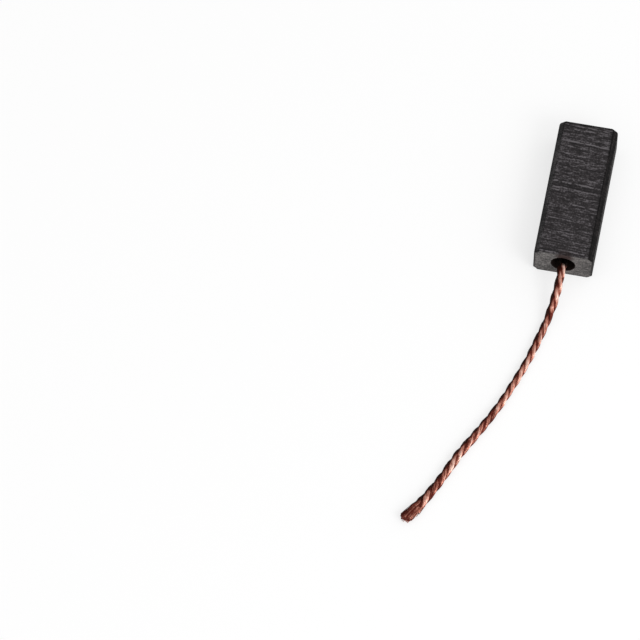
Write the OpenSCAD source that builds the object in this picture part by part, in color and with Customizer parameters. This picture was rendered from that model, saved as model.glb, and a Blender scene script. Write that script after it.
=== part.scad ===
// Carbon brush for a small electric machine: a sawn carbon block with chamfered long edges
// and a stranded copper lead, its pigtail, tamped into a blind bore in one end.
// Millimetres. The origin is the middle of the block's underside, +X points to the contact
// face and +Z is up. The lead leaves the other end and lies on the surface under the block.

/* [Carbon block] */
// Length of the carbon, from its lead end to its contact face
block_length = 32; // [20:0.5:60]
// Width of the carbon, along the commutator's shaft
block_width = 12.5; // [8:0.1:25]
// Thickness of the carbon, along the commutator's track
block_thickness = 8; // [6:0.1:16]
// Leg of the 45 degree chamfer on each of the four long edges
edge_chamfer = 1; // [0.2:0.1:2]

/* [Lead bore] */
// Diameter of the blind bore that takes the lead
bore_diameter = 5; // [3:0.1:5.5]
// Depth of the bore at its full diameter
bore_depth = 10; // [8:0.5:16]
// Point angle of the drill, which the bottom of the bore keeps
drill_angle = 118; // [90:1:150]

/* [Tamped joint] */
// Length of the bore that the tamped copper powder fills, above the drill point
tamping_length = 6; // [3:0.5:7]
// Depth of the hollow that the tamping punch leaves round the lead
punch_hollow = 0.5; // [0.1:0.1:1]
// Tamped copper between the buried end of the lead and the drill point
lead_foot = 1.5; // [0.5:0.1:1.8]
// Clearance round the buried stretch of the lead
lead_clearance = 0.02; // [0:0.01:0.1]

/* [Pigtail lead] */
// Diameter round the three strands of the lead
lead_diameter = 1.6; // [0.8:0.1:2.4]

/* [Hidden] */

$fn = 64;
overcut = 0.5;                                 // how far a cut runs out past its face
bore_radius = bore_diameter / 2;
lead_radius = lead_diameter / 2;
lead_sides = 8;
mouth_x = -block_length / 2;                   // plane of the lead end
axis_z = block_thickness / 2;                  // height of the bore's axis
drill_point = bore_radius / tan(drill_angle / 2);
plug_face = bore_depth - tamping_length;       // depths, measured in from the mouth
lead_end = bore_depth - lead_foot;

// Route of the free lead from the bore mouth to its cut end. Each point is its distance
// out from the lead end, its distance to the side, and its height: 1 is on the bore's
// axis and 0 is lying on the surface.
lead_route = [
    [0, 0, 1], [3, 0.1, 1], [5, 0.1, 0.9], [7, 0.3, 0.7], [9, 0.5, 0.45], [11, 0.9, 0.2],
    [13, 1.3, 0.05], [15.5, 1.9, 0], [19, 2.7, 0], [22.5, 3.6, 0], [26, 4.7, 0],
    [29.5, 5.9, 0], [33, 7.2, 0], [36.5, 8.7, 0], [40, 10.4, 0], [43.5, 12.2, 0],
    [47, 13.9, 0], [50.5, 15.3, 0], [54, 16.8, 0], [57.5, 18.5, 0], [61, 20.4, 0],
    [63.5, 21.7, 0]
];

function route_point(p) =
    [mouth_x - p[0], p[1], lead_radius + (axis_z - lead_radius) * p[2]];

// Centreline of the whole lead: the straight buried stretch, then the free route
lead_line = concat(
    [for (depth = [lead_end, plug_face]) [mouth_x + depth, 0, axis_z]],
    [for (p = lead_route) route_point(p)]
);

function unit(v) = v / norm(v);

// Direction of the line at point i, from its neighbours on both sides
function direction(line, i) =
    unit(line[min(i + 1, len(line) - 1)] - line[max(i - 1, 0)]);

// Ring of points round point i, square to the line, with one corner straight down
function ring(line, i, radius, sides) =
    let (along = direction(line, i),
         side = unit(cross(along, [0, 0, 1])),
         up = cross(side, along))
    [for (k = [0 : sides - 1])
        let (turn = 360 * k / sides - 90)
        line[i] + radius * (cos(turn) * side + sin(turn) * up)];

// Tube of flat-sided rings along a line, closed at both ends
module swept_tube(line, radius, sides) {
    last = len(line) - 1;
    points = [for (i = [0 : last]) each ring(line, i, radius, sides)];
    walls = [for (i = [0 : last - 1], k = [0 : sides - 1])
        let (a = i * sides + k, b = i * sides + (k + 1) % sides)
        [a, b, b + sides, a + sides]];
    start_cap = [for (k = [sides - 1 : -1 : 0]) k];
    end_cap = [for (k = [0 : sides - 1]) last * sides + k];
    polyhedron(points = points, faces = concat(walls, [start_cap, end_cap]));
}

// Sets its children on the bore's axis, at the mouth, with their Z pointing into the bore
module in_bore() {
    translate([mouth_x, 0, axis_z]) rotate([0, 90, 0]) children();
}

// Cross-section of the carbon: a rectangle with its four corners chamfered
module block_section() {
    y = block_width / 2;
    z = block_thickness / 2;
    c = edge_chamfer;
    polygon([
        [y, z - c], [y - c, z], [c - y, z], [-y, z - c],
        [-y, c - z], [c - y, -z], [y - c, -z], [y, c - z]
    ]);
}

// The carbon itself, one sawn piece with its drilled bore
module carbon_block() {
    color("#3a3a3c") difference() {
        translate([mouth_x, 0, axis_z]) rotate([90, 0, 90])
            linear_extrude(block_length) block_section();
        in_bore() rotate_extrude() polygon([
            [0, -overcut], [bore_radius, -overcut],
            [bore_radius, bore_depth], [0, bore_depth + drill_point]
        ]);
    }
}

// Copper powder rammed round the lead: it fills the bottom of the bore and its drill
// point, is hollowed by the punch, and keeps a socket where the lead is buried
module tamping_plug() {
    socket_radius = lead_radius + lead_clearance;
    color("#7a4632") in_bore() rotate_extrude() polygon([
        [0, lead_end], [socket_radius, lead_end],
        [socket_radius, plug_face + punch_hollow], [bore_radius, plug_face],
        [bore_radius, bore_depth], [0, bore_depth + drill_point]
    ]);
}

// The stranded copper lead, from its buried end to its bare cut end
module pigtail_lead() {
    color("#b9694c") swept_tube(lead_line, lead_radius, lead_sides);
}

carbon_block();
tamping_plug();
pigtail_lead();
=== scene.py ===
import bpy
import math
import numpy as np
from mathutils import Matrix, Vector, noise


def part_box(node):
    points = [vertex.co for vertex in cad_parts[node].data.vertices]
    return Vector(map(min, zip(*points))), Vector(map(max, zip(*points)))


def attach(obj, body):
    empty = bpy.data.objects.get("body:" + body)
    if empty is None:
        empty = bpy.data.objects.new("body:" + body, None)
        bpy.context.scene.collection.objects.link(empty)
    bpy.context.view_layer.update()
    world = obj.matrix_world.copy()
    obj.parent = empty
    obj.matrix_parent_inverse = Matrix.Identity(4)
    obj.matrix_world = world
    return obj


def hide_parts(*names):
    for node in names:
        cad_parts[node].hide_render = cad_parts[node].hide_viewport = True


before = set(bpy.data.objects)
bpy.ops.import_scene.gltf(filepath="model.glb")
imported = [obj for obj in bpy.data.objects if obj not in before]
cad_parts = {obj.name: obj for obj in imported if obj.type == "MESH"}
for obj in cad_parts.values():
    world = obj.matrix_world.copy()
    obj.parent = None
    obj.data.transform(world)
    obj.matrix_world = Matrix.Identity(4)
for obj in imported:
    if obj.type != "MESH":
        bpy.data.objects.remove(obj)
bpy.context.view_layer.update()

mm = 0.001
blockLow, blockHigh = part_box("carbon_block")
plugLow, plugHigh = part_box("tamping_plug")
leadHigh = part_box("pigtail_lead")[1]
mouthX = blockLow.x                      # plane of the lead end
axisZ = (blockLow.z + blockHigh.z) / 2   # height of the bore's axis


def linearColour(hexText):
    # sRGB hex to the linear values that the shader sockets take
    channels = [int(hexText[i:i + 2], 16) / 255 for i in (1, 3, 5)]
    linear = [c / 12.92 if c <= 0.04045 else ((c + 0.055) / 1.055) ** 2.4 for c in channels]
    return (*linear, 1.0)


def addNode(tree, kind, settings=None, links=None):
    # adds one node: settings go to its inputs or its own properties, links to its inputs
    node = tree.nodes.new(kind)
    for key, value in (settings or {}).items():
        if isinstance(key, int) or key in node.inputs:
            node.inputs[key].default_value = value
        else:
            setattr(node, key, value)
    for key, socket in (links or {}).items():
        tree.links.new(socket, node.inputs[key])
    return node


def smoothStep(low, high, value):
    t = np.clip((value - low) / (high - low), 0, 1)
    return t * t * (3 - 2 * t)


def noiseAt(*place):
    return noise.noise(Vector(place))


def ringFaces(rows, sides):
    # faces that join rings of points one after the other, closed at both ends
    faces = [(r * sides + k, r * sides + (k + 1) % sides,
              (r + 1) * sides + (k + 1) % sides, (r + 1) * sides + k)
             for r in range(rows - 1) for k in range(sides)]
    last = (rows - 1) * sides
    return faces + [tuple(range(sides))[::-1], tuple(last + k for k in range(sides))]


def meshPiece(name, points, faces, finish, faceFinish=None, attributes=None):
    mesh = bpy.data.meshes.new(name)
    mesh.from_pydata([tuple(p) for p in points], [], faces)
    for material in finish:
        mesh.materials.append(material)
    if faceFinish is not None:
        mesh.polygons.foreach_set("material_index", faceFinish)
    for key, values in (attributes or {}).items():
        layer = mesh.attributes.new(key, "FLOAT", "POINT")
        layer.data.foreach_set("value", np.asarray(values, np.float32))
    mesh.shade_smooth()
    mesh.update()
    piece = bpy.data.objects.new(name, mesh)
    bpy.context.scene.collection.objects.link(piece)
    return piece


def emptyTree(owner, outputKind):
    # a material's or world's cleared node tree, and its output
    owner.use_nodes = True
    owner.node_tree.nodes.clear()
    return owner.node_tree, addNode(owner.node_tree, outputKind)


cameraSetup = {
    "azimuth": -79.1,                    # degrees, 0 looks along +Y
    "elevation": 61.5,                   # degrees above the surface
    "distance": 1.248,                   # metres from the aim point
    "lens": 337.5,                       # a long lens, nearly without perspective
    "aim": (-0.0364, 0.0476, 0.0),       # point on the surface, beside the lead
}

azimuth = math.radians(cameraSetup["azimuth"])
elevation = math.radians(cameraSetup["elevation"])
back = Vector((math.sin(azimuth) * math.cos(elevation),
               -math.cos(azimuth) * math.cos(elevation), math.sin(elevation)))
cameraData = bpy.data.cameras.new("camera")
cameraData.lens = cameraSetup["lens"]
cameraData.sensor_width = 36
cameraData.clip_end = 20
camera = bpy.data.objects.new("camera", cameraData)
camera.location = Vector(cameraSetup["aim"]) + back * cameraSetup["distance"]
camera.rotation_euler = back.to_track_quat("Z", "Y").to_euler()
bpy.context.scene.collection.objects.link(camera)
bpy.context.scene.camera = camera
print("camera placed")


copperLook = {
    "patch": 0.9 * mm,                   # width of a patch of tarnish
    "patchStrength": 0.8,
    "tarnishAndPaintedLightRange": (0.15, 1.2),         # amounts that read as clean and as darkest
    # from rubbed clean to heavily tarnished; the darkest end is also painted shade
    "colours": [(0.0, "#fbd5c6"), (0.24, "#dc9a86"), (0.52, "#763126"), (1.0, "#32140c")],
    "carbonDustAndBoreShade": "#0e0a09",
    "roughness": (0.28, 0.6),            # clean, and tarnished
    "oxide": (0.35, 0.9),                # how tarnished it is where oxide covers it
    "metallic": (1.0, 0.15),             # bare, and under oxide, which is no metal
    "gloss": 0.15,                       # the oxide is dull
}


def strandedCopper():
    # bare annealed copper wire, drawn and bunched: pink and bright where the wires are rubbed
    # clean, which on the lit side's crests and at the mouth is a painted highlight, brown tarnish
    # between them, painted shade underneath and along the +Y side, and carbon dust in the bore,
    # darkened there as painted shade
    look = copperLook
    material = bpy.data.materials.new("strandedCopper")
    tree, output = emptyTree(material, "ShaderNodeOutputMaterial")
    # tarnish together with painted light: painted shade on the lower flanks and a painted
    # highlight on the lit crests
    tarnishAndPaintedLightMap = addNode(tree, "ShaderNodeAttribute", {"attribute_name": "tarnishAndPaintedLight"})
    dustAndBoreShade = addNode(tree, "ShaderNodeAttribute", {"attribute_name": "dustAndBoreShade"})
    place = addNode(tree, "ShaderNodeTexCoord")
    perPatch = addNode(tree, "ShaderNodeMapping", {"Scale": (1 / look["patch"],) * 3},
                       {"Vector": place.outputs["Object"]})
    blotch = addNode(tree, "ShaderNodeTexNoise", {"Scale": 1.0, "Detail": 3.0},
                     {"Vector": perPatch.outputs[0]})
    tarnishAndPaintedLight = addNode(tree, "ShaderNodeMath",
                      {"operation": "MULTIPLY_ADD", 1: look["patchStrength"]},
                      {0: blotch.outputs["Fac"], 2: tarnishAndPaintedLightMap.outputs["Fac"]})
    amount = addNode(tree, "ShaderNodeMapRange",
                     {"From Min": look["tarnishAndPaintedLightRange"][0], "From Max": look["tarnishAndPaintedLightRange"][1]},
                     {"Value": tarnishAndPaintedLight.outputs[0]})
    colour = addNode(tree, "ShaderNodeValToRGB", None, {"Fac": amount.outputs[0]})
    ramp = colour.color_ramp.elements
    for position, hexText in look["colours"][1:-1]:
        ramp.new(position)
    for element, (position, hexText) in zip(ramp, look["colours"]):
        element.position = position
        element.color = linearColour(hexText)
    # carbon dust, and painted shade of the lead inside the bore
    dustyAndShaded = addNode(tree, "ShaderNodeMix",
                    {"data_type": "RGBA", 7: linearColour(look["carbonDustAndBoreShade"])},
                    {0: dustAndBoreShade.outputs["Fac"], 6: colour.outputs[0]})
    roughness = addNode(tree, "ShaderNodeMapRange",
                        {"To Min": look["roughness"][0], "To Max": look["roughness"][1]},
                        {"Value": amount.outputs[0]})
    bare = addNode(tree, "ShaderNodeMapRange",
                   {"From Min": look["oxide"][0], "From Max": look["oxide"][1],
                    "To Min": look["metallic"][0], "To Max": look["metallic"][1]},
                   {"Value": amount.outputs[0]})
    shader = addNode(tree, "ShaderNodeBsdfPrincipled", {"Specular IOR Level": look["gloss"]},
                     {"Base Color": dustyAndShaded.outputs[2], "Roughness": roughness.outputs[0],
                      "Metallic": bare.outputs[0]})
    tree.links.new(shader.outputs[0], output.inputs["Surface"])
    return material


leadSetup = {
    "radius": leadHigh.z - axisZ,        # round all three strands
    "strands": 3,
    "strandDiameter": 0.98 * mm,         # pressed into each other
    "strandInset": 0.94,                 # its middle in from the outside, in its radii
    "ropeLay": 9.6 * mm,                 # one turn of the strands, left-handed
    "wires": 19,                         # wires that show round one strand
    "innerWires": 26,                    # wires that only the opened end shows
    "innerDepth": 3.2,                   # the deepest of those, in a wire's radii
    "innerSpread": (0.3, 1.0),           # shares of that depth
    "innerFrom": 1.3,                    # they begin this many frays before the end
    "wireDiameter": 0.13 * mm,           # drawn thicker than real wire, to show
    "wireLay": 11.0 * mm,
    "ringStep": 0.36 * mm,
    "sides": 6,
    "coreSides": 8,                      # what fills each strand behind its wires
    "coreInset": 1.7,                    # in a wire's radii
    "coreShrink": 0.9,                   # share that it loses where the twist ends
    # how full the rope is, by metres out from the mouth: slack there and near the cut end
    "fullness": [(0, 1.13), (0.006, 1.14), (0.014, 1.05), (0.030, 0.99), (0.038, 1.04),
                 (0.045, 1.16), (0.055, 1.18), (0.062, 1.34), (0.068, 1.50)],
    # unevenness: how much, and how far apart along the lead
    "strandTurn": (0.45, 5.0 * mm),      # radians that a strand wanders round
    "strandReach": (0.12, 3.0 * mm),     # further out and in, as a share
    "strandSwell": (0.10, 2.2 * mm),     # thicker and thinner, as a share
    "wireProud": (0.09, 2.6 * mm),       # a wire's height on its strand, as a share
    "wireTurn": (0.16, 4.0 * mm),        # radians that a wire wanders round it
    "wireStain": (0.30, 3.0 * mm),       # tarnish along one wire
    "ropeStain": (0.22, 7.0 * mm),       # tarnish along the whole rope
    "wireSpread": (0.025, 0.03, 0.10),   # between wires: height, turn and tarnish
    # the opened end
    "fray": 5.0 * mm,                    # its length
    "frayWidth": 3.6 * mm,
    "frayFlat": 0.62,                    # its height, as a share of its width
    "frayLift": 0.30 * mm,               # its middle above the rope's
    "frayReach": 0.93,                   # the furthest out that a wire ends
    "fraySpread": (0.85, 1.02),          # shares of the way to its spot
    "frayScatter": 0.04 * mm,            # and how far it ends from it
    "frayBlend": (-0.8 * mm, 1.2 * mm),  # where the twist gives way, from its start
    "frayBend": 0.7,                     # below 1 the wires part sooner
    # how far each of its wires runs, by its place across, both in mm
    "cutLine": [(-1.45, 1.6), (-1.2, 2.7), (-1.0, 3.7), (-0.6, 4.35),
                (0.2, 4.6), (1.0, 4.75), (1.8, 4.2)],
    "cutSpread": (-0.40, -0.05),         # and how much less, in mm
    # tarnish and painted light: how strong, and the two places that it fades between, where 1 is
    # the outside
    "groove": (0.45, 0.55, 1.00),        # between the strands, gone on their crests
    "paintedShadeFlank": (1.60, -0.15, 0.60),        # painted shade along the lower +Y side, away from the light
    "edge": (0.50, 0.60, 1.00),          # painted shade along the other side, near the surface
    "crest": (1.00, 0.85, 1.03),         # what rubbing has cleaned, and a painted highlight, as only crests on the lit side get it
    "crestSide": (-0.7, 0.0),            # and how far over to the +Y side it reaches; the painted shade side gets none
    "paintedShadeFacing": (0.9, -0.25),         # which way that side faces: across and up
    "lowShadeFacing": (-0.9, -0.35),
    "paintedShadeBelow": (0.2, -0.5, 0.05),     # least share, low on it, and its heights
    "frayGroove": 0.15,                  # what the opened wires keep of the grooves
    "frayPaintedShade": 0.35,                   # how much further down their painted shade starts
    "frayMost": 0.42,                    # their darkest
    "frayAll": 0.13,                     # and what all of them get
    "frayStain": 1.2,                    # how much more they differ
    "frayNew": 0.3,                      # share of their length where that begins
    "coreTarnish": 0.5,                  # in the gaps between wires
    # metres out from the mouth, spread in metres, and how much cleaner or browner; the first
    # cleaner one paints the highlight where the lead leaves the bore
    "rubbed": [(0.0012, 0.0016, 2.40), (0.0075, 0.0022, 0.35), (0.0225, 0.0040, 0.25),
               (0.0310, 0.0030, 0.25), (0.0500, 0.0030, 0.30)],
    "stained": [(0.0016, 0.0024, 0.60), (0.0114, 0.0010, 0.45), (0.0165, 0.0018, 0.25),
                (0.0385, 0.0016, 0.30)],
    "dustAndBoreShadeEdge": (-0.9 * mm, -0.1 * mm),  # where carbon dust and the bore's painted shade begin, in the mouth
    # the route from the mouth: out from the lead end and to the side, in metres, and height,
    # where 1 is on the bore's axis and 0 is lying on the surface
    "route": [
        (0, 0, 1), (0.003, 0.0001, 1), (0.005, 0.0001, 0.9), (0.007, 0.0003, 0.7),
        (0.009, 0.0005, 0.45), (0.011, 0.0009, 0.2), (0.013, 0.0013, 0.05), (0.0155, 0.0019, 0),
        (0.019, 0.0027, 0), (0.0225, 0.0036, 0), (0.026, 0.0047, 0), (0.0295, 0.0059, 0),
        (0.033, 0.0072, 0), (0.0365, 0.0087, 0), (0.04, 0.0104, 0), (0.0435, 0.0122, 0),
        (0.047, 0.0139, 0), (0.0505, 0.0153, 0), (0.054, 0.0168, 0), (0.0575, 0.0185, 0),
        (0.061, 0.0204, 0), (0.0635, 0.0217, 0),
    ],
    "routeSteps": 24,                    # points worked out between two of these
    "extraRings": 3,                     # and rings past the last one
    "seed": 5,
}


def leadCentreline():
    # the buried stretch, then the route, as evenly spaced points on one smooth curve that
    # runs on past the route's end for the longest wires of the opened end
    radius = leadSetup["radius"]
    knots = [(leadHigh.x, 0, axisZ), (plugLow.x, 0, axisZ)]
    knots += [(mouthX - out, side, radius + (axisZ - radius) * height)
              for out, side, height in leadSetup["route"]]
    knots = np.array(knots)
    spans = np.linalg.norm(np.diff(knots, axis=0), axis=1)
    along = np.concatenate([[0], np.cumsum(spans)])
    slopes = np.gradient(knots, along, axis=0)
    line = []
    for i, span in enumerate(spans):
        for t in np.linspace(0, 1, leadSetup["routeSteps"], endpoint=False):
            a, b = 2 * t**3 - 3 * t**2 + 1, t**3 - 2 * t**2 + t
            line.append(a * knots[i] + b * span * slopes[i]
                        + (1 - a) * knots[i + 1] + (t**3 - t**2) * span * slopes[i + 1])
    line = np.array(line + [knots[-1]])
    line[:, 2] = np.maximum(line[:, 2], radius)
    walked = np.concatenate([[0], np.cumsum(np.linalg.norm(np.diff(line, axis=0), axis=1))])
    stations = np.linspace(0, walked[-1], int(walked[-1] / leadSetup["ringStep"]) + 1)
    line = np.stack([np.interp(stations, walked, line[:, k]) for k in range(3)], axis=1)
    extra = np.arange(1, 1 + leadSetup["extraRings"])
    further = line[-1] + (line[-1] - line[-2]) * extra[:, None]
    ahead = stations[-1] + stations[1] * extra
    return np.concatenate([line, further]), np.concatenate([stations, ahead])


def frames(line):
    # sideways and upward vectors along a line that never stands upright
    along = np.gradient(line, axis=0)
    along /= np.linalg.norm(along, axis=1)[:, None]
    side = np.cross(along, (0, 0, 1))
    side /= np.linalg.norm(side, axis=1)[:, None]
    return side, np.cross(side, along)


def tube(line, radius, sides):
    # rings of points round a line
    side, up = frames(line)
    turns = np.arange(sides)[None, :, None] * 2 * math.pi / sides
    around = np.cos(turns) * side[:, None] + np.sin(turns) * up[:, None]
    return (line[:, None] + np.reshape(radius, (-1, 1, 1)) * around).reshape(-1, 3)


def brushSpots(offsets, radius, rng):
    # where each wire ends in the opened brush: an evenly filled disc, nearest spot first
    count = len(offsets)
    rank = np.arange(count) + 0.5
    goldenAngle = 2.399963               # radians
    reach, turn = radius * np.sqrt(rank / count), rank * goldenAngle
    spots = np.stack([reach * np.cos(turn), reach * np.sin(turn)], axis=1)
    taken = np.zeros(count)
    chosen = np.zeros((count, 2))
    scaled = offsets * radius / np.linalg.norm(offsets, axis=1).max()
    for i in rng.permutation(count):
        nearest = int(np.argmin(np.linalg.norm(spots - scaled[i], axis=1) + taken))
        taken[nearest] = np.inf
        chosen[i] = spots[nearest]
    return chosen


def pigtail(material):
    s = leadSetup
    rng = np.random.default_rng(s["seed"])
    line, station = leadCentreline()
    total = station[-1 - s["extraRings"]]        # to the route's own end
    side, up = frames(line)
    strandRadius, wireRadius = s["strandDiameter"] / 2, s["wireDiameter"] / 2
    helixRadius = s["radius"] - strandRadius * s["strandInset"]
    frayStart = total - s["fray"]
    opened = np.clip((station - frayStart) / s["fray"], 0, 1)
    fromMouth = station - (plugLow.x - mouthX) - (leadHigh.x - plugLow.x)
    fullness = np.interp(fromMouth, *zip(*s["fullness"]))
    turn = 2 * math.pi * station / s["ropeLay"]

    def waver(key, *place):
        # smooth unevenness along the lead, different at each place
        size, length = s[key]
        return size * np.array([noiseAt(q / length, *place) for q in station])

    wires, cores = [], []
    proudSpread, turnSpread, stainSpread = s["wireSpread"]
    for k in range(s["strands"]):
        phase = turn + 2 * math.pi * k / s["strands"] + waver("strandTurn", k * 7.0, 0.0)
        reach = helixRadius * fullness * (1 + waver("strandReach", k * 5.0, 3.0))
        middle = np.stack([reach * np.cos(phase), reach * np.sin(phase)], axis=1)
        swell = fullness * (1 + waver("strandSwell", k * 3.0, 6.0))
        cores.append((middle, swell))
        for w in range(s["wires"] + s["innerWires"]):
            inner = w >= s["wires"]
            spot = (w - s["wires"]) / s["innerWires"] if inner else w / s["wires"]
            sunk = s["innerDepth"] * inner * rng.uniform(*s["innerSpread"])
            bundle = strandRadius - wireRadius * (1 + sunk)
            proud = 1 + rng.normal(0, proudSpread) + waver("wireProud", w * 1.7, k * 9.0)
            own = 2 * math.pi * (spot + station / s["wireLay"]) + rng.normal(0, turnSpread)
            own = own + waver("wireTurn", w * 2.3, k * 11.0)
            ring = np.stack([np.cos(own), np.sin(own)], axis=1)
            ring = (bundle * swell * proud)[:, None] * ring
            first = 0
            if inner:
                first = len(line) - int(s["fray"] * s["innerFrom"] / s["ringStep"])
            stain = waver("wireStain", spot * 5.0, k * 13.0) + rng.normal(0, stainSpread)
            wires.append({"offset": middle + ring, "first": first, "stain": stain})

    # the cut end opens into a flattened brush, which the cutters left slanting
    start = int(frayStart / s["ringStep"])
    half = s["frayWidth"] / 2
    ends = brushSpots(np.array([w["offset"][start] for w in wires]), half, rng)
    blend = smoothStep(frayStart + s["frayBlend"][0], frayStart + s["frayBlend"][1],
                       station)[:, None]
    parting = opened[:, None]**s["frayBend"]
    for wire, end in zip(wires, ends):
        end = end * rng.uniform(*s["fraySpread"]) + rng.normal(0, s["frayScatter"], 2)
        end *= min(1, s["frayReach"] * half / np.linalg.norm(end))
        length = np.interp(end[0] / mm, *zip(*s["cutLine"])) * mm
        length += rng.uniform(*s["cutSpread"]) * mm
        wire["last"] = start + round(length / s["ringStep"]) + 2
        end[1] = end[1] * s["frayFlat"] + s["frayLift"]
        straight = wire["offset"][start] * (1 - parting) + end * parting
        wire["offset"] = wire["offset"] * (1 - blend) + straight * blend
    outer = s["radius"] * fullness * (1 - opened) + half * opened

    # how clean or stained the whole rope is along its length, with a painted highlight at the
    # mouth
    stainAndMouthHighlight = waver("ropeStain", 40.0, 2.0)
    for sign, places in ((-1, s["rubbed"]), (1, s["stained"])):
        for middle, spread, strength in places:
            stainAndMouthHighlight = stainAndMouthHighlight + sign * strength * np.exp(-((fromMouth - middle) / spread)**2)

    def fade(key, value):
        strength, low, high = s[key]
        return strength * smoothStep(low, high, value)

    def tarnishAndPaintedLightOn(points, kept, sides, stain):
        # brown tarnish in the grooves, painted shade low on both flanks, and rubbed clean on the
        # crests, which paints a highlight on the lit side
        def each(values):                # from one for a ring to one for a point
            return np.repeat(values[kept], sides, axis=0)

        outside, away = each(outer), points - each(line)
        reach = np.linalg.norm(away, axis=1) / outside
        across = (away * each(side)).sum(axis=1) / outside
        upward = (away * each(up)).sum(axis=1) / outside
        paintedShadeFlank, edge = (s[key][0] * across + s[key][1] * upward
                       for key in ("paintedShadeFacing", "lowShadeFacing"))
        justOpened = smoothStep(0.0, s["frayNew"], opened)
        frayed = each(justOpened)
        least, low, high = s["paintedShadeBelow"]
        below = least + (1 - least) * smoothStep(low, high, upward)
        tarnishAndPaintedLight = (s["groove"][0] - fade("groove", reach)) * (1 - (1 - s["frayGroove"]) * frayed)
        # painted shade: low on the +Y flank, away from the light, and low on the other side near
        # the surface
        tarnishAndPaintedLight += fade("paintedShadeFlank", paintedShadeFlank - s["frayPaintedShade"] * frayed) * below + fade("edge", edge)
        most = 1 - (1 - s["frayMost"]) * frayed
        tarnishAndPaintedLight = np.where(frayed > 0, np.minimum(tarnishAndPaintedLight, most), tarnishAndPaintedLight)
        own = each(stain * (1 + s["frayStain"] * justOpened) + stainAndMouthHighlight)
        # rubbing cleans only the crests on the lit side: real wear and a painted highlight
        crest = (1 - smoothStep(*s["crestSide"], paintedShadeFlank)) * fade("crest", reach)
        return tarnishAndPaintedLight + s["frayAll"] * frayed + np.where(own < 0, own * crest, own)

    allPoints, allFaces, attributes = [], [], {"tarnishAndPaintedLight": [], "dustAndBoreShade": []}
    count = 0

    def addTube(offset, radius, sides, stain, first, last):
        nonlocal count
        kept = slice(first, last)
        centres = (line + offset[:, :1] * side + offset[:, 1:] * up)[kept]
        centres[:, 2] = np.maximum(centres[:, 2], np.max(radius))      # none in the surface
        points = tube(centres, radius, sides)
        allPoints.append(points)
        allFaces.extend([tuple(v + count for v in face)
                         for face in ringFaces(len(centres), sides)])
        count += len(points)
        attributes["tarnishAndPaintedLight"].extend(tarnishAndPaintedLightOn(points, kept, sides, stain))
        # carbon dust in the bore, which also paints the bore's shade on the lead
        low, high = (mouthX + edge for edge in s["dustAndBoreShadeEdge"])
        attributes["dustAndBoreShade"].extend(smoothStep(low, high, points[:, 0]))

    for wire in wires:
        addTube(wire["offset"], wireRadius, s["sides"], wire["stain"], wire["first"], wire["last"])
    coreStain = np.full(len(line), s["coreTarnish"])
    coreRadius = strandRadius - s["coreInset"] * wireRadius
    for middle, swell in cores:          # these end where the wires part
        radius = coreRadius * swell * (1 - s["coreShrink"] * blend[:, 0])
        addTube(middle, radius[:start + 2], s["coreSides"], coreStain, 0, start + 2)

    rope = meshPiece("pigtailRope", np.concatenate(allPoints), allFaces, [material],
                     attributes=attributes)
    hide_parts("pigtail_lead")
    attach(rope, "root")
    print("pigtail rope made,", len(allFaces), "faces, line", round(float(total) / mm, 1), "mm")


pigtail(strandedCopper())


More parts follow.
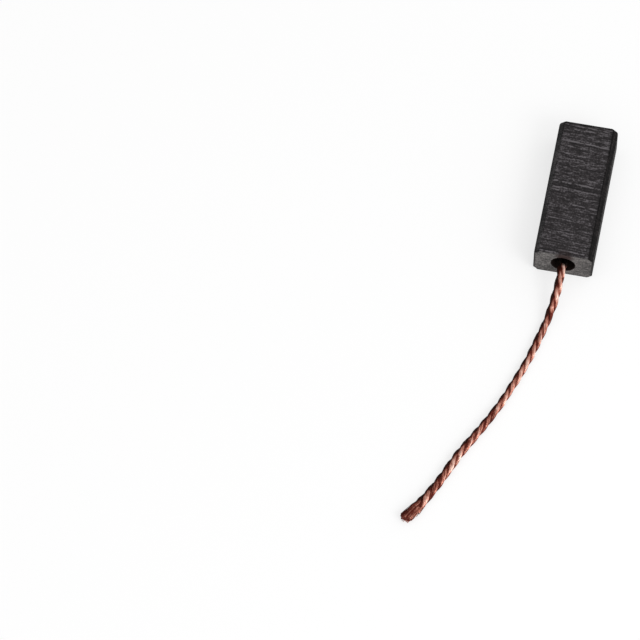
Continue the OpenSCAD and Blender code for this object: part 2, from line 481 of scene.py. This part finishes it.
blockSetup = {
    "chamfer": 1.0 * mm,
    "edgeRound": 0.30 * mm,              # the long edges, rubbed round; painted shade darkens them
    "mouthRound": 0.16 * mm,             # round the lead end
    "contactRound": 0.40 * mm,           # round the contact face
    "cornerRound": 0.9 * mm,             # the contact face's corners, from above
    "cornerShare": 0.6,                  # how far those are rounded off
    "boreLip": 0.12 * mm,                # flare of the bore's mouth
    # rings down the bore: how deep, and how much of the flare is left there
    "boreRings": [(0.03 * mm, 0.35), (0.12 * mm, 0), (0.5 * mm, 0), (1.2 * mm, 0),
                  (2.2 * mm, 0), (3.2 * mm, 0), (4.2 * mm, 0), (6 * mm, 0)],
    "boreBack": 6.2 * mm,                # hidden in the tamping
    "spacing": 0.36 * mm,                # between points round the section
    "stationStep": 0.14 * mm,            # between rings along the block
    # rings on an end face, as shares of the way in: close together where the rim fades out
    "rimRings": [0.03, 0.07, 0.12],
    "endRings": 14,                      # and this many from there on
    # the saw's lines, and ridges that it tore: mm apart and mm long
    "sawAngle": math.radians(3.2),       # they lean a little
    "sawDepth": 0.028 * mm,
    "sawLines": (0.24, 9.0),
    "sawRidges": (0.60, 3.0),
    "ridgeShare": 0.6,                   # height of the ridges, in depths of a line
    "leastDepth": 0.002 * mm,            # so that no mark stands out of the block
    "millShare": 0.3,                    # how deep lines are on the chamfers
    "grainDepth": 0.010 * mm,            # grain of the ground faces
    "grainSize": 0.4,                    # and its width in mm
    # chips along the rims
    "chipDepth": 0.12 * mm,
    "chipSize": (0.50, 0.55, 0.55),      # mm
    "chipRange": (0.2, 0.7),             # noise that starts one and makes it whole
    "chipReach": 0.16 * mm,              # how far in from a rim
    "chipShare": (1.0, 0.5),             # at the lead end and the contact face
    # light wear where chips broke off the top of the lead end, and elsewhere
    "wearShare": (1.2, 0.36),
    "wearCorners": (0.7, 3.6, 4.8),      # how much less, from and to mm off the middle
    # painted shade on each long edge, where it turns away from the light: how strong, and how far
    # it runs in from the edge, in mm
    "edgePaintedShade": [(1.0, 0.75), (0.1, 0.36), (0.45, 0.36), (0.2, 0.36),
                   (1.0, 0.36), (0.4, 0.36), (0.4, 0.36), (1.0, 0.36)],
    "edgeShadeUneven": (0.8, 0.4, 1.5),     # mean, change and mm along
    # painted shade round the lead end and the contact face, where their rounded rims turn from the
    # light
    "rimReach": (1.5, 2.2),              # along the block, in roundings
    "rimStrength": 1.8,
    "rimUneven": (0.85, 0.5, 0.8),       # mean, change and mm across
    "rimBelow": 0.55,                    # its share on the sides and below
    "rimFace": (1.0, 0.55),              # and on each end face
    "rimWidth": 0.16 * mm,               # how far in it runs there
    # deeper saw marks, ridges with a painted highlight on them and a painted shadow beside: mm
    # from the lead end, from and to in mm across, and how light
    "deepMarks": [
        (1.0, 0.6, -4.4, 1.3), (0.5, 5.4, 1.2, -1.0), (3.6, 4.6, 1.6, 0.6),
        (6.4, -2.4, -5.0, 0.8), (8.4, 5.0, -4.8, 0.4), (12.1, 0.4, -5.0, 1.0),
        (15.0, 5.2, 2.0, 0.8), (16.0, 4.8, -4.8, -0.7), (17.1, 5.2, -5.0, 0.9),
        (21.1, 4.8, -4.6, -0.6), (23.9, 4.2, -0.6, 0.9), (27.1, 5.2, -5.0, 0.9),
        (29.0, 4.0, -2.0, 0.4), (30.2, 3.6, -4.8, 0.7), (31.0, 5.0, -1.0, 0.8),
    ],
    "markDepth": 0.025 * mm,
    "markWidth": 0.14,                   # mm, as are the next sizes
    "markPaintedShadow": (0.6, 0.36, 0.16),     # the painted shadow beside it: how dark, how far off and wide
    "markReach": 0.9,                    # nothing of it shows further off
    "markWander": (0.10, 2.5),           # how much it strays, and how far apart
    "markFade": 0.8,                     # what its ends take to fade
    "markWhole": (0.75, 1.6, 0.7),       # its breaks: mean, change and how far apart
}


def blockSection():
    # points round the chamfered section, their outward normals, the side that each is on
    # and how much painted shade the edge gets there
    s = blockSetup
    halfY = (blockHigh.y - blockLow.y) / 2
    halfZ = (blockHigh.z - blockLow.z) / 2
    c, r = s["chamfer"], s["edgeRound"]
    corners = np.array([
        (halfY, c - halfZ), (halfY, halfZ - c), (halfY - c, halfZ), (c - halfY, halfZ),
        (-halfY, halfZ - c), (-halfY, c - halfZ), (c - halfY, -halfZ), (halfY - c, -halfZ)])
    paintedShade = s["edgePaintedShade"]             # after each of the eight sides
    points, normals, sides, paintedEdgeShade = [], [], [], []
    for i in range(8):
        a, b = corners[i], corners[(i + 1) % 8]
        direction = (b - a) / np.linalg.norm(b - a)
        normal = np.array([direction[1], -direction[0]])
        trim = r * math.tan(math.radians(22.5))                 # half of the edge's turn
        start, end = a + direction * trim, b - direction * trim
        span = np.linalg.norm(end - start)
        steps = max(3, round(span / s["spacing"] * (1.8 if i % 2 else 1)))      # finer on chamfers
        for t in np.linspace(0, 1, steps + 1):
            points.append(start + (end - start) * t)
            normals.append(normal)
            sides.append(i)
            near = [strength * math.exp(-(q * span / mm / width)**2)
                    for q, (strength, width) in ((t, paintedShade[i - 1]), (1 - t, paintedShade[i]))]
            paintedEdgeShade.append(max(near))
        for turned in (math.radians(15), math.radians(30)):     # on round the corner
            middle = np.array([normal[0] * math.cos(turned) - normal[1] * math.sin(turned),
                               normal[0] * math.sin(turned) + normal[1] * math.cos(turned)])
            points.append(end - normal * r + middle * r)
            normals.append(middle)
            sides.append(i if i % 2 else (i + 1) % 8)
            paintedEdgeShade.append(paintedShade[i][0])
    return np.array(points), np.array(normals), np.array(sides), np.array(paintedEdgeShade)


def markAt(xMm, yMm):
    # the deeper saw marks, each a painted highlight line with a painted shadow beside it, broken
    # here and there; the same value also lifts a ridge
    s = blockSetup
    shadow, shadowOff, shadowWidth = s["markPaintedShadow"]
    wander, wanderLength = s["markWander"]
    whole, change, breakLength = s["markWhole"]
    fade, value = s["markFade"], 0.0
    for place, start, end, strength in s["deepMarks"]:
        if not end - fade / 2 < yMm < start + fade / 2:
            continue
        off = xMm - place + wander * noiseAt(yMm / wanderLength, place, 4.0)
        if abs(off) > s["markReach"]:
            continue
        ends = min(1.0, (start - yMm) / fade + 0.5, (yMm - end) / fade + 0.5)
        unbroken = min(1.0, max(0.0, whole + change * noiseAt(yMm / breakLength, place * 3, 1.0)))
        line = math.exp(-(off / s["markWidth"])**2)
        line -= shadow * math.exp(-((off + shadowOff) / shadowWidth)**2)
        value += strength * ends * unbroken * line
    return value


# the block's finishes, in the order of graphiteLooks
sawn, milled, rubbed, groundEnd, drilled, groundSide = range(6)


def carbonBlock(materials):
    s = blockSetup
    section, normals, sides, sectionPaintedEdgeShade = blockSection()
    around = len(section)
    length = blockHigh.x - blockLow.x
    lean = math.tan(s["sawAngle"])
    startRound, endRound = s["mouthRound"], s["contactRound"]
    turnIn = [1 - math.cos(math.radians(a)) for a in (0, 25, 45, 65)]
    inner = np.linspace(startRound, length - endRound, int(length / s["stationStep"]))
    stations = np.concatenate([[startRound * t for t in turnIn], inner,
                               [length - endRound * t for t in turnIn[::-1]]])
    lineGap, lineLength = s["sawLines"]
    ridgeGap, ridgeLength = s["sawRidges"]
    chipStart, chipWhole = s["chipRange"]
    edgeMean, edgeChange, edgeLength = s["edgeShadeUneven"]
    rimMean, rimChange, rimSize = s["rimUneven"]
    chipX, chipY, chipZ = s["chipSize"]
    lessWear, wearFrom, wearTo = s["wearCorners"]

    points, faces, finish = [], [], []
    wear, paintedEdgeShade, markHighlightAndShadow = [], [], []
    for q in stations:
        x = blockLow.x + q
        atMouth = q < length / 2
        face = 0 if atMouth else 1       # which of a pair of settings
        fromEnd, edge = (q, startRound) if atMouth else (length - q, endRound)
        inset = edge - math.sqrt(max(0, edge**2 - (edge - min(fromEnd, edge))**2))
        corner = 0 if atMouth else max(0, s["cornerRound"] - fromEnd)
        cut = s["cornerRound"] - math.sqrt(s["cornerRound"]**2 - corner**2)
        narrowed = 1 - s["cornerShare"] * cut / blockHigh.y
        rim = s["rimStrength"] * max(0.0, 1 - fromEnd / (s["rimReach"][face] * edge))
        rim = min(1.0, rim)
        nearRim = math.exp(-fromEnd / s["chipReach"]) * s["chipShare"][face]
        for p, n, i, dark in zip(section, normals, sides, sectionPaintedEdgeShade):
            y, z = p[0] * narrowed, p[1] + axisZ
            xMm, yMm, zMm = x / mm, y / mm, z / mm
            leaning = xMm - lean * yMm
            saw = 0.5 + 0.5 * noiseAt(leaning / lineGap, yMm / lineLength, zMm / lineLength)
            torn = noiseAt(leaning / ridgeGap + 9, yMm / ridgeLength, zMm / ridgeLength)
            saw += s["ridgeShare"] * max(0, torn)
            depth = s["sawDepth"] * saw * (s["millShare"] if i % 2 else 1)
            line = 0.0
            # the deeper saw marks: a real ridge, with a painted highlight and painted shadow
            if i in (2, 6):              # top and bottom
                line = markAt(q / mm - lean * yMm, yMm if i < 4 else -yMm)
            depth = max(s["leastDepth"], depth - s["markDepth"] * line)
            chip = noiseAt(xMm / chipX, yMm / chipY, zMm / chipZ + 5)
            chip = max(0, chip - chipStart) / (chipWhole - chipStart) * nearRim
            depth += inset + s["chipDepth"] * chip
            points.append((x, y - n[0] * depth, z - n[1] * depth))
            # painted shade round the rims and along the long edges
            paintedShade = rim * (1.0 if i in (1, 2, 3) else s["rimBelow"])
            paintedShade *= rimMean + rimChange * noiseAt(xMm, yMm / rimSize, zMm / rimSize)
            dark = dark * (edgeMean + edgeChange * noiseAt(xMm / edgeLength, yMm, zMm))
            worn = s["wearShare"][1]
            if atMouth and i == 2:       # the top of the lead end is chipped, and gets no painted shade
                paintedShade = 0.0
                worn = 1 - lessWear * float(smoothStep(wearFrom, wearTo, abs(yMm)))
                worn *= s["wearShare"][0]
            wear.append(min(1.0, chip * worn))
            paintedEdgeShade.append(max(dark, paintedShade))
            markHighlightAndShadow.append(line)
    rows = len(stations)
    # the eight sides, from the +Y one and up
    sideFinish = [groundSide, rubbed, sawn, milled, groundSide, milled, sawn, rubbed]
    for i in range(rows - 1):
        for k in range(around):
            j = (k + 1) % around
            faces.append((i * around + k, (i + 1) * around + k,
                          (i + 1) * around + j, i * around + j))
            finish.append(max(sideFinish[sides[k]], sideFinish[sides[j]]))

    boreRadius = (plugHigh.y - plugLow.y) / 2
    centre = np.array([0.0, axisZ])

    def addRing(ringPoints, dark=0.0):
        first = len(points)
        points.extend(ringPoints)
        wear.extend([0.0] * len(ringPoints))
        paintedEdgeShade.extend(np.broadcast_to(dark, len(ringPoints)))
        markHighlightAndShadow.extend([0.0] * len(ringPoints))
        return first

    def joinRings(first, second, flip, kind):
        for k in range(around):
            j = (k + 1) % around
            quad = (first + k, first + j, second + j, second + k)
            faces.append(quad[::-1] if flip else quad)
            finish.append(kind)

    def closeRing(ring, last, flip, kind):
        for k in range(around):
            pair = (ring + k, ring + (k + 1) % around)
            faces.append((*(pair[::-1] if flip else pair), last))
            finish.append(kind)

    def endFace(previous, face, innerRadius, innermost):
        # rings that close in from the outline, with the grain of a ground face
        x, inward, flip = ((blockLow.x, 1, False), (blockHigh.x, -1, True))[face]
        outline = np.array([(p[1], p[2]) for p in points[previous:previous + around]])
        rays = outline - centre
        rays /= np.linalg.norm(rays, axis=1)[:, None]
        target = centre + rays * innerRadius
        size = s["grainSize"] * mm
        for t in [*s["rimRings"], *np.linspace(0.2, innermost, s["endRings"])]:
            ring = outline * (1 - t) + target * t
            sunk = [s["grainDepth"] * min(1, 6 * t) * (1 + noiseAt(y / size, z / size, x / mm))
                    for y, z in ring]
            away = np.linalg.norm(ring - outline, axis=1)
            # painted shade round the end face's rim
            rimDark = s["rimFace"][face] * np.exp(-(away / s["rimWidth"])**2)
            if face == 0:
                rimDark[sides == 2] = 0  # its top is chipped, and gets no painted shade
            first = addRing([(x + inward * g, y, z) for g, (y, z) in zip(sunk, ring)], rimDark)
            joinRings(previous, first, flip, groundEnd)
            previous = first
        return previous, rays

    # lead end: in to the lip of the bore, and on down its wall
    previous, rays = endFace(0, 0, boreRadius + s["boreLip"], 1)
    for deep, flare in s["boreRings"]:
        rough = [max(s["grainDepth"] * noiseAt(r[0] * 5, r[1] * 5, deep / mm), 0) for r in rays]
        wall = boreRadius + flare * s["boreLip"]
        ring = [centre + r * (wall + g) for r, g in zip(rays, rough)]
        first = addRing([(blockLow.x + deep, y, z) for y, z in ring])
        joinRings(previous, first, False, drilled)
        previous = first
    closeRing(previous, addRing([(blockLow.x + s["boreBack"], 0, axisZ)]), False, drilled)

    # contact face: in to its middle
    previous = endFace((rows - 1) * around, 1, 0, 0.97)[0]
    closeRing(previous, addRing([(blockHigh.x - s["grainDepth"], 0, axisZ)]), True, groundEnd)

    block = meshPiece("sawnBlock", points, faces, materials, finish,
                      {"wear": wear, "paintedEdgeShade": paintedEdgeShade, "markHighlightAndShadow": markHighlightAndShadow})
    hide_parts("carbon_block")
    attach(block, "root")
    print("carbon block made,", len(faces), "faces")


def graphiteMaterial(name, look):
    # one carbon finish: lines across the block that the saw left, grain between them and
    # weak graphite gloss
    material = bpy.data.materials.new(name)
    tree, output = emptyTree(material, "ShaderNodeOutputMaterial")
    place = addNode(tree, "ShaderNodeTexCoord")
    turned = addNode(tree, "ShaderNodeMapping", {"Rotation": (0, 0, blockSetup["sawAngle"])},
                     {"Vector": place.outputs["Object"]})
    texture, middle = None, 0.0          # sum of the patterns, each times its share
    for number, (size, share) in enumerate(look["patterns"]):
        apart = 3.7 + 8.1 * number       # so that no two patterns are alike
        spread = addNode(tree, "ShaderNodeMapping",
                         {"Scale": tuple(1 / q for q in size), "Location": (apart,) * 3},
                         {"Vector": turned.outputs[0]})
        one = addNode(tree, "ShaderNodeTexNoise", {"Scale": 1.0, "Detail": 2.0},
                      {"Vector": spread.outputs[0]})
        links = {0: one.outputs["Fac"]}
        if texture is not None:
            links[2] = texture
        texture = addNode(tree, "ShaderNodeMath",
                          {"operation": "MULTIPLY_ADD", 1: share, 2: 0.0}, links).outputs[0]
        middle += 0.5 * share
    # painted highlight and painted shadow of the deeper saw marks
    markHighlightAndShadow = addNode(tree, "ShaderNodeAttribute", {"attribute_name": "markHighlightAndShadow"})
    marked = addNode(tree, "ShaderNodeMath", {"operation": "MULTIPLY_ADD", 1: look["markPaintedLight"]},
                     {0: markHighlightAndShadow.outputs["Fac"], 2: texture})
    tone = addNode(tree, "ShaderNodeMapRange",
                   {"From Min": middle - look["range"], "From Max": middle + look["range"]},
                   {"Value": marked.outputs[0]})
    colour = addNode(tree, "ShaderNodeValToRGB", None, {"Fac": tone.outputs[0]})
    ramp = colour.color_ramp.elements
    ramp.new(0.5)
    for element, position, hexText in zip(ramp, (0.0, 0.5, 1.0), look["colours"]):
        element.position = position
        element.color = linearColour(hexText)

    layers = []                          # what lies over that: colour and how much
    if "smear" in look:                  # copper dust rubbed in above the bore
        smear = look["smear"]
        offset = addNode(tree, "ShaderNodeVectorMath",
                         {"operation": "DISTANCE", 1: smear["place"]},
                         {0: place.outputs["Object"]})
        ragged = addNode(tree, "ShaderNodeMath", {"operation": "MULTIPLY_ADD", 1: -smearRagged},
                         {0: texture, 2: offset.outputs["Value"]})
        near = addNode(tree, "ShaderNodeMapRange",
                       {"From Min": smear["radius"], "From Max": smearSolid * smear["radius"],
                        "To Max": smear["most"]},
                       {"Value": ragged.outputs[0]})
        layers.append((smear["colour"], near.outputs[0]))
    # painted shade on the edges and rims first, then the real wear of the chips
    for key, hexText in (("paintedEdgeShade", look["paintedEdgeShadeColour"]), ("wear", look["wornEdge"])):
        amount = addNode(tree, "ShaderNodeAttribute", {"attribute_name": key})
        layers.append((hexText, amount.outputs["Fac"]))
    finished = colour.outputs[0]
    for hexText, amount in layers:
        finished = addNode(tree, "ShaderNodeMix", {"data_type": "RGBA", 7: linearColour(hexText)},
                           {0: amount, 6: finished}).outputs[2]
    bump = addNode(tree, "ShaderNodeBump", {"Strength": 0.6, "Distance": look["depth"]},
                   {"Height": texture})
    shader = addNode(tree, "ShaderNodeBsdfPrincipled",
                     {"IOR": 1.5, "Roughness": look["roughness"],
                      "Specular IOR Level": look["gloss"]},
                     {"Base Color": finished, "Normal": bump.outputs[0]})
    tree.links.new(shader.outputs[0], output.inputs["Surface"])
    return material


# pattern sizes along the block, across it and up
longLines = (0.30 * mm, 40 * mm, 40 * mm)       # one stroke of the saw, right across
shortLines = (0.28 * mm, 1.8 * mm, 1.8 * mm)    # the same, broken by the grain
grit = (0.26 * mm, 0.34 * mm, 0.34 * mm)        # real grit is 0.05 mm, too fine to show
patches = (4 * mm, 4 * mm, 4 * mm)              # slow change of tone
smearRagged = 0.6 * mm                          # how uneven the copper smear's edge is
smearSolid = 0.3                                # share of its radius before it fades
# each finish: patterns and their shares, how far the tone runs either way, how much the
# painted highlight and shadow of the deeper saw marks show, colours from dark to light, and the
# relief's depth
graphiteLooks = {
    # cut across with a band saw: broken light and dark lines, dull grit between them
    "sawnGraphite": {
        "patterns": [(longLines, 0.65), (shortLines, 0.85), (grit, 0.95), (patches, 0.25)],
        "range": 0.30, "markPaintedLight": 0.55, "colours": ("#191718", "#2b2829", "#5f5b5e"),
        "smear": {"place": (mouthX, -0.0002, blockHigh.z), "radius": 0.7 * mm, "most": 0.5,
                  "colour": "#1a0907"},
        "paintedEdgeShadeColour": "#050404", "wornEdge": "#8a8585",
        "depth": 0.02 * mm, "roughness": 0.55, "gloss": 0.15,
    },
    # long edges milled along: smoother and darker
    "milledChamferGraphite": {
        "patterns": [((5 * mm, 0.35 * mm, 0.35 * mm), 0.6), (shortLines, 0.5), (grit, 0.5)],
        "range": 0.17, "markPaintedLight": 0.2, "colours": ("#020202", "#0f0d0d", "#2d2828"),
        "paintedEdgeShadeColour": "#050404", "wornEdge": "#45403e",
        "depth": 0.01 * mm, "roughness": 0.5, "gloss": 0.08,
    },
    # the chamfers of one side, which handling has rubbed lighter
    "rubbedChamferGraphite": {
        "patterns": [(longLines, 0.2), (shortLines, 0.6), (grit, 0.9), (patches, 0.6)],
        "range": 0.22, "markPaintedLight": 0.2, "colours": ("#040404", "#232122", "#504d4e"),
        "paintedEdgeShadeColour": "#030303", "wornEdge": "#4c4a4b",
        "depth": 0.015 * mm, "roughness": 0.5, "gloss": 0.15,
    },
    # end faces ground flat: an even, lighter, warm grey with a felt-like grain
    "groundEndGraphite": {
        "patterns": [((1.2 * mm, 1.7 * mm, 0.35 * mm), 0.8), (grit, 0.9), (patches, 0.4)],
        "range": 0.30, "markPaintedLight": 0.2, "colours": ("#2b2928", "#585554", "#85817f"),
        "smear": {"place": (mouthX, -0.0002, axisZ + 0.0030), "radius": 1.6 * mm, "most": 0.85,
                  "colour": "#260e0a"},
        "paintedEdgeShadeColour": "#100f0f", "wornEdge": "#8a8684",
        "depth": 0.015 * mm, "roughness": 0.8, "gloss": 0.25,
    },
    # wall of the drilled bore: darkened as painted shade of the unlit bore, sooty, with a breath
    # of copper
    "drilledBoreGraphite": {
        "patterns": [((0.4 * mm, 4 * mm, 4 * mm), 0.6), (grit, 0.8)],
        "range": 0.36, "markPaintedLight": 0.2, "colours": ("#0c0807", "#1c1411", "#2a201c"),
        "paintedEdgeShadeColour": "#0c0807", "wornEdge": "#171010",
        "depth": 0.02 * mm, "roughness": 0.9, "gloss": 0.1,
    },
    # narrow sides ground smooth: dark, with a brownish cast
    "groundSideGraphite": {
        "patterns": [(longLines, 0.4), (shortLines, 0.6), (grit, 0.6), (patches, 0.4)],
        "range": 0.36, "markPaintedLight": 0.2, "colours": ("#060505", "#191514", "#322b29"),
        "paintedEdgeShadeColour": "#050404", "wornEdge": "#4a4441",
        "depth": 0.01 * mm, "roughness": 0.7, "gloss": 0.1,
    },
}
carbonBlock([graphiteMaterial(name, look) for name, look in graphiteLooks.items()])


plugSetup = {
    "grain": 0.15 * mm,                  # drawn coarser than real powder, to show
    "colours": ("#4b2418", "#9a5a42"),   # between the grains, and on them
    "grainDepth": 0.03 * mm,
    "metallic": 0.8,
    "roughness": 0.65,
    "dish": 0.5 * mm,                    # how far the punch sank its middle
    "middle": 0.05,                      # innermost ring, as a share of the radius
    "faceRings": 14,
    "sides": 72,
    "lumps": 0.05 * mm,                  # powder that stands out
    "lumpSize": 0.3 * mm,
    "drillPoint": 1.5 * mm,              # its length
    "tip": (0.02 * mm, 0.04 * mm),       # its blunt tip: how short, and radius
}


def rammedCopperPowder():
    # copper powder rammed hard round the lead: dull, red-brown and grainy
    s = plugSetup
    material = bpy.data.materials.new("rammedCopperPowder")
    tree, output = emptyTree(material, "ShaderNodeOutputMaterial")
    place = addNode(tree, "ShaderNodeTexCoord")
    grain = addNode(tree, "ShaderNodeMapping", {"Scale": (1 / s["grain"],) * 3},
                    {"Vector": place.outputs["Object"]})
    mottle = addNode(tree, "ShaderNodeTexNoise", {"Scale": 1.0, "Detail": 3.0},
                     {"Vector": grain.outputs[0]})
    dark, light = (linearColour(hexText) for hexText in s["colours"])
    colour = addNode(tree, "ShaderNodeMix", {"data_type": "RGBA", 6: dark, 7: light},
                     {0: mottle.outputs["Fac"]})
    bump = addNode(tree, "ShaderNodeBump", {"Strength": 0.8, "Distance": s["grainDepth"]},
                   {"Height": mottle.outputs["Fac"]})
    shader = addNode(tree, "ShaderNodeBsdfPrincipled",
                     {"Metallic": s["metallic"], "Roughness": s["roughness"]},
                     {"Base Color": colour.outputs[2], "Normal": bump.outputs[0]})
    tree.links.new(shader.outputs[0], output.inputs["Surface"])
    return material


def tampingPlug(material):
    # a dished face with powder grain, a wall and the drill point
    s = plugSetup
    radius = (plugHigh.y - plugLow.y) / 2
    shortBy, tipRadius = s["tip"]
    rings = [(plugLow.x + s["dish"] * (1 - t), radius * (s["middle"] + (1 - s["middle"]) * t))
             for t in np.linspace(0, 1, s["faceRings"])]
    rings += [(plugHigh.x - s["drillPoint"], radius), (plugHigh.x - shortBy, tipRadius)]
    points = []
    for i, (x, r) in enumerate(rings):
        for k in range(s["sides"]):
            turn = 2 * math.pi * k / s["sides"]
            y, z = r * math.cos(turn), axisZ + r * math.sin(turn)
            lump = 0
            if 0 < i < s["faceRings"] - 1:
                lump = s["lumps"] * abs(noiseAt(y / s["lumpSize"], z / s["lumpSize"], 2.0))
            points.append((x + lump, y, z))
    plug = meshPiece("rammedPlug", points, ringFaces(len(rings), s["sides"]), [material])
    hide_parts("tamping_plug")
    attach(plug, "root")
    print("tamping plug made")


tampingPlug(rammedCopperPowder())


studioSetup = {
    "floorSize": 6.0,
    "floorColour": "#fefefe",
    "plainShare": 0.68,                  # how far the white floor hides its own shading
    "lightFrom": (-0.34, -0.62, 0.70),   # the bright side of the room
    "shadeFrom": (-0.6, 0.9),            # how far round from it the light changes
    "shadeLevel": 0.12,                  # light from the far side
    "brightLevel": 1.12,                 # and from the bright side
    "keyPower": 1.85,
    "keyPlace": (-0.36, -0.47, 0.50),
    "keyAim": (-0.03, 0.01, 0),
    "keySize": 0.35,
}


def studio():
    s = studioSetup
    scene = bpy.context.scene
    scene.view_settings.view_transform = "Standard"
    scene.world = bpy.data.worlds.new("studio")
    tree, output = emptyTree(scene.world, "ShaderNodeOutputWorld")
    toward = addNode(tree, "ShaderNodeTexCoord")
    bright = addNode(tree, "ShaderNodeVectorMath", {"operation": "DOT_PRODUCT", 1: s["lightFrom"]},
                     {0: toward.outputs["Generated"]})
    level = addNode(tree, "ShaderNodeMapRange",
                    {"From Min": s["shadeFrom"][0], "From Max": s["shadeFrom"][1],
                     "To Min": s["shadeLevel"], "To Max": s["brightLevel"]},
                    {"Value": bright.outputs["Value"]})
    background = addNode(tree, "ShaderNodeBackground", {"Color": (1, 1, 1, 1)},
                         {"Strength": level.outputs[0]})
    tree.links.new(background.outputs[0], output.inputs["Surface"])

    # matt seamless paper, which looks plain white but takes the object's shadow
    paper = bpy.data.materials.new("whitePaper")
    tree, output = emptyTree(paper, "ShaderNodeOutputMaterial")
    white = linearColour(s["floorColour"])
    lit = addNode(tree, "ShaderNodeBsdfDiffuse", {"Color": white})
    plain = addNode(tree, "ShaderNodeEmission", {"Color": white})
    ray = addNode(tree, "ShaderNodeLightPath")
    seen = ray.outputs["Is Camera Ray"]
    for kind in ("Is Glossy Ray", "Is Transmission Ray"):
        seen = addNode(tree, "ShaderNodeMath", {"operation": "ADD", "use_clamp": True},
                       {0: seen, 1: ray.outputs[kind]}).outputs[0]
    share = addNode(tree, "ShaderNodeMath", {"operation": "MULTIPLY", 1: s["plainShare"]},
                    {0: seen})
    shader = addNode(tree, "ShaderNodeMixShader", None,
                     {0: share.outputs[0], 1: lit.outputs[0], 2: plain.outputs[0]})
    tree.links.new(shader.outputs[0], output.inputs["Surface"])
    h = s["floorSize"] / 2
    corners = [(-h, -h, 0), (h, -h, 0), (h, h, 0), (-h, h, 0)]
    floor = meshPiece("floor", corners, [(0, 1, 2, 3)], [paper])

    lamp = bpy.data.lights.new("softbox", "AREA")
    lamp.energy = s["keyPower"]
    lamp.size = s["keySize"]
    key = bpy.data.objects.new("softbox", lamp)
    key.location = s["keyPlace"]
    away = Vector(s["keyPlace"]) - Vector(s["keyAim"])
    key.rotation_euler = away.to_track_quat("Z", "Y").to_euler()
    scene.collection.objects.link(key)
    print("studio set")


studio()
